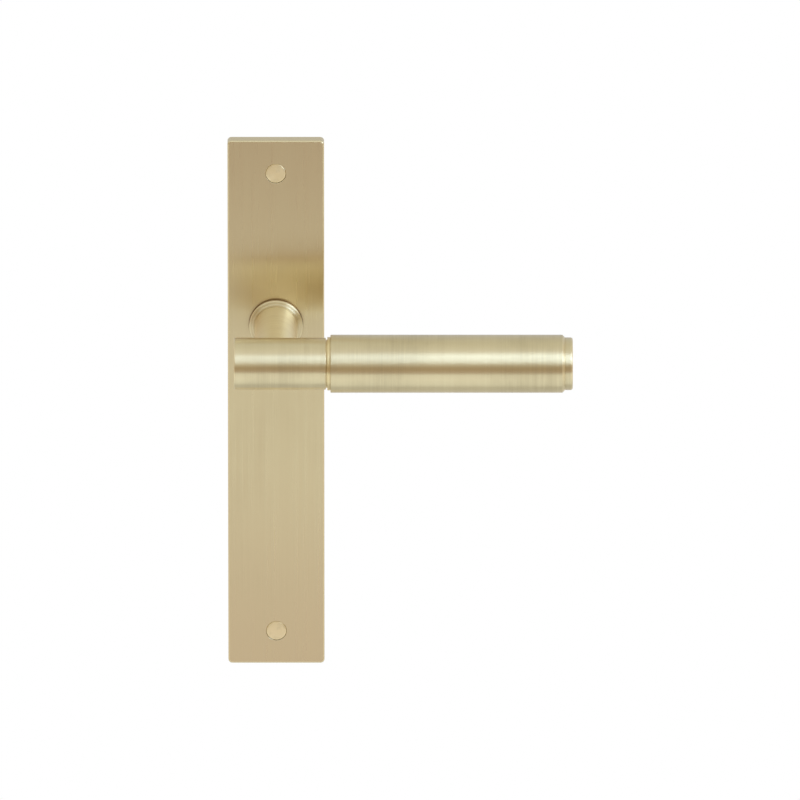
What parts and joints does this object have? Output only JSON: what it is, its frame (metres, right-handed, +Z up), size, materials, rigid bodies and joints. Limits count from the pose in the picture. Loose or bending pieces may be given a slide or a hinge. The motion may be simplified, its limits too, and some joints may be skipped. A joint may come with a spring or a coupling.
{
  "type": "lever handle on backplate",
  "caption": "Sprung round lever handle in satin brass on a slim long backplate, with its return spring cassette, square spindle and covered fixing screws.",
  "frame": {"origin": "centre of the plate's back face, which lies against the door", "axes": "+Z up along the plate, +X along the lever, +Y into the door; the person at the door stands on the -Y side"},
  "size_m": [0.1429, 0.1228, 0.233],
  "materials": {
    "satin_brass": "satin, finely brushed",
    "turned_brass": "bright, turned",
    "raw_brass": "drawn bar",
    "zinc_plated_steel": "zinc plated",
    "dark_steel": "black oxide",
    "spring_steel": "drawn and tempered",
    "cast_zinc": "die cast",
    "acetal": "moulded"
  },
  "bodies": {
    "plate": {"backplate": "satin_brass", "neck_bush": "acetal", "cassette_housing": "cast_zinc", "cassette_cover": "zinc_plated_steel", "upper_cassette_screw": "zinc_plated_steel", "lower_cassette_screw": "zinc_plated_steel", "top_fixing_screw": "zinc_plated_steel", "bottom_fixing_screw": "zinc_plated_steel", "top_screw_cap": "turned_brass", "bottom_screw_cap": "turned_brass", "return_spring": "spring_steel"},
    "lever": {"neck": "satin_brass", "neck_collar": "satin_brass", "neck_bolt": "dark_steel", "lever_hub": "satin_brass", "core_bar": "raw_brass", "spacer_ring": "turned_brass", "grip_sleeve": "satin_brass", "end_cap": "satin_brass", "end_cap_stud": "zinc_plated_steel", "spring_driver": "zinc_plated_steel", "wave_washer": "spring_steel", "circlip": "dark_steel", "spindle": "zinc_plated_steel", "spindle_grub_screw": "dark_steel"}
  },
  "joints": [
    {"name": "lever_turn", "type": "hinge", "parent": "plate", "child": "lever", "pos_m": [0, 0, 0.035], "axis": [0, 1, 0], "range_deg": [0, 50], "stiffness_Nm_per_rad": 0.45, "springref_deg": -68.75, "deforming": ["return_spring"]}
  ]
}
